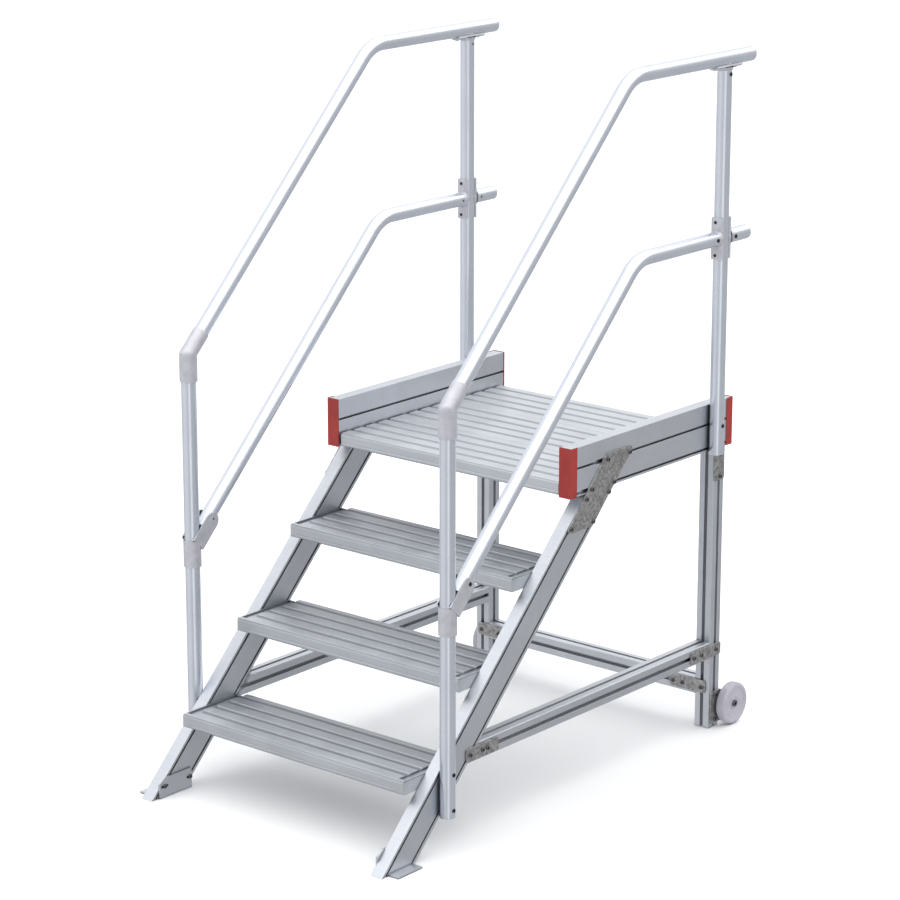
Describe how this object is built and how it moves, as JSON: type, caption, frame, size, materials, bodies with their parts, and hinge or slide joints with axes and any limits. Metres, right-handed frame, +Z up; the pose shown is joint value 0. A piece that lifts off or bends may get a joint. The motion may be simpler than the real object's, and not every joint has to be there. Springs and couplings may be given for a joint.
{
  "type": "rolling warehouse ladder",
  "caption": "Free-standing aluminium step platform with treads on inclined stringers, handrails on both sides and wheels behind its rear legs for rolling it when tipped.",
  "frame": {"origin": "on the floor, at the middle of the ladder's footprint box", "axes": "+Z up, +Y from the front treads towards the rear legs and wheels, +X to the right of a person climbing"},
  "size_m": [0.8738, 1.4338, 1.7889],
  "materials": {
    "extruded_aluminium": "satin mill finish with fine lines along the extrusion",
    "ribbed_aluminium": "satin, ribbed for grip",
    "rail_tube": "smooth anodised",
    "cast_aluminium": "matt as-cast",
    "galvanised_plate": "galvanised with a mottled spangle",
    "zinc_steel": "zinc plated",
    "dark_screw": "blackened",
    "red_plastic": "fine moulded grain",
    "rail_plug": "fine moulded grain",
    "wheel_plastic": "satin moulded nylon"
  },
  "bodies": {
    "frame": {"beam_end_caps": "red_plastic", "beam_left": "extruded_aluminium", "beam_right": "extruded_aluminium", "brace_plates_left": "galvanised_plate", "brace_plates_right": "galvanised_plate", "cross_plate_left": "galvanised_plate", "cross_plate_right": "galvanised_plate", "deck_ledges": "extruded_aluminium", "deck_plank_front": "ribbed_aluminium", "deck_plank_middle": "ribbed_aluminium", "deck_plank_rear": "ribbed_aluminium", "foot_left": "extruded_aluminium", "foot_right": "extruded_aluminium", "frame_screws": "zinc_steel", "front_tube_left": "rail_tube", "front_tube_right": "rail_tube", "gusset_left": "galvanised_plate", "gusset_right": "galvanised_plate", "knee_clamp_left": "cast_aluminium", "knee_clamp_right": "cast_aluminium", "knee_rail_left": "rail_tube", "knee_rail_right": "rail_tube", "knee_saddle_front_left": "cast_aluminium", "knee_saddle_front_right": "cast_aluminium", "knee_saddle_rear_left": "cast_aluminium", "knee_saddle_rear_right": "cast_aluminium", "knee_stub_left": "rail_tube", "knee_stub_right": "rail_tube", "leg_strap_left": "galvanised_plate", "leg_strap_right": "galvanised_plate", "plate_screws": "zinc_steel", "rail_elbow_left": "cast_aluminium", "rail_elbow_right": "cast_aluminium", "rail_screws": "dark_screw", "rear_cross_brace": "extruded_aluminium", "rear_leg_left": "extruded_aluminium", "rear_leg_right": "extruded_aluminium", "rear_post_left": "rail_tube", "rear_post_right": "rail_tube", "side_brace_left": "extruded_aluminium", "side_brace_right": "extruded_aluminium", "slot_nuts": "zinc_steel", "stringer_left": "extruded_aluminium", "stringer_right": "extruded_aluminium", "top_rail_left": "rail_tube", "top_rail_right": "rail_tube", "top_saddle_left": "cast_aluminium", "top_saddle_right": "cast_aluminium", "tread_1": "ribbed_aluminium", "tread_2": "ribbed_aluminium", "tread_3": "ribbed_aluminium", "tread_ends_left": "ribbed_aluminium", "tread_ends_right": "ribbed_aluminium", "tube_end_caps": "rail_plug", "wheel_axle_left": "zinc_steel", "wheel_axle_right": "zinc_steel", "wheel_bracket_left": "galvanised_plate", "wheel_bracket_right": "galvanised_plate"},
    "wheel_left": {"wheel_left": "wheel_plastic"},
    "wheel_right": {"wheel_right": "wheel_plastic"}
  },
  "joints": [
    {"name": "wheel_left_spin", "type": "hinge", "parent": "frame", "child": "wheel_left", "pos_m": [-0.414, 0.66145, 0.0572], "axis": [1, 0, 0], "continuous": true},
    {"name": "wheel_right_spin", "type": "hinge", "parent": "frame", "child": "wheel_right", "pos_m": [0.414, 0.66145, 0.0572], "axis": [1, 0, 0], "continuous": true}
  ]
}
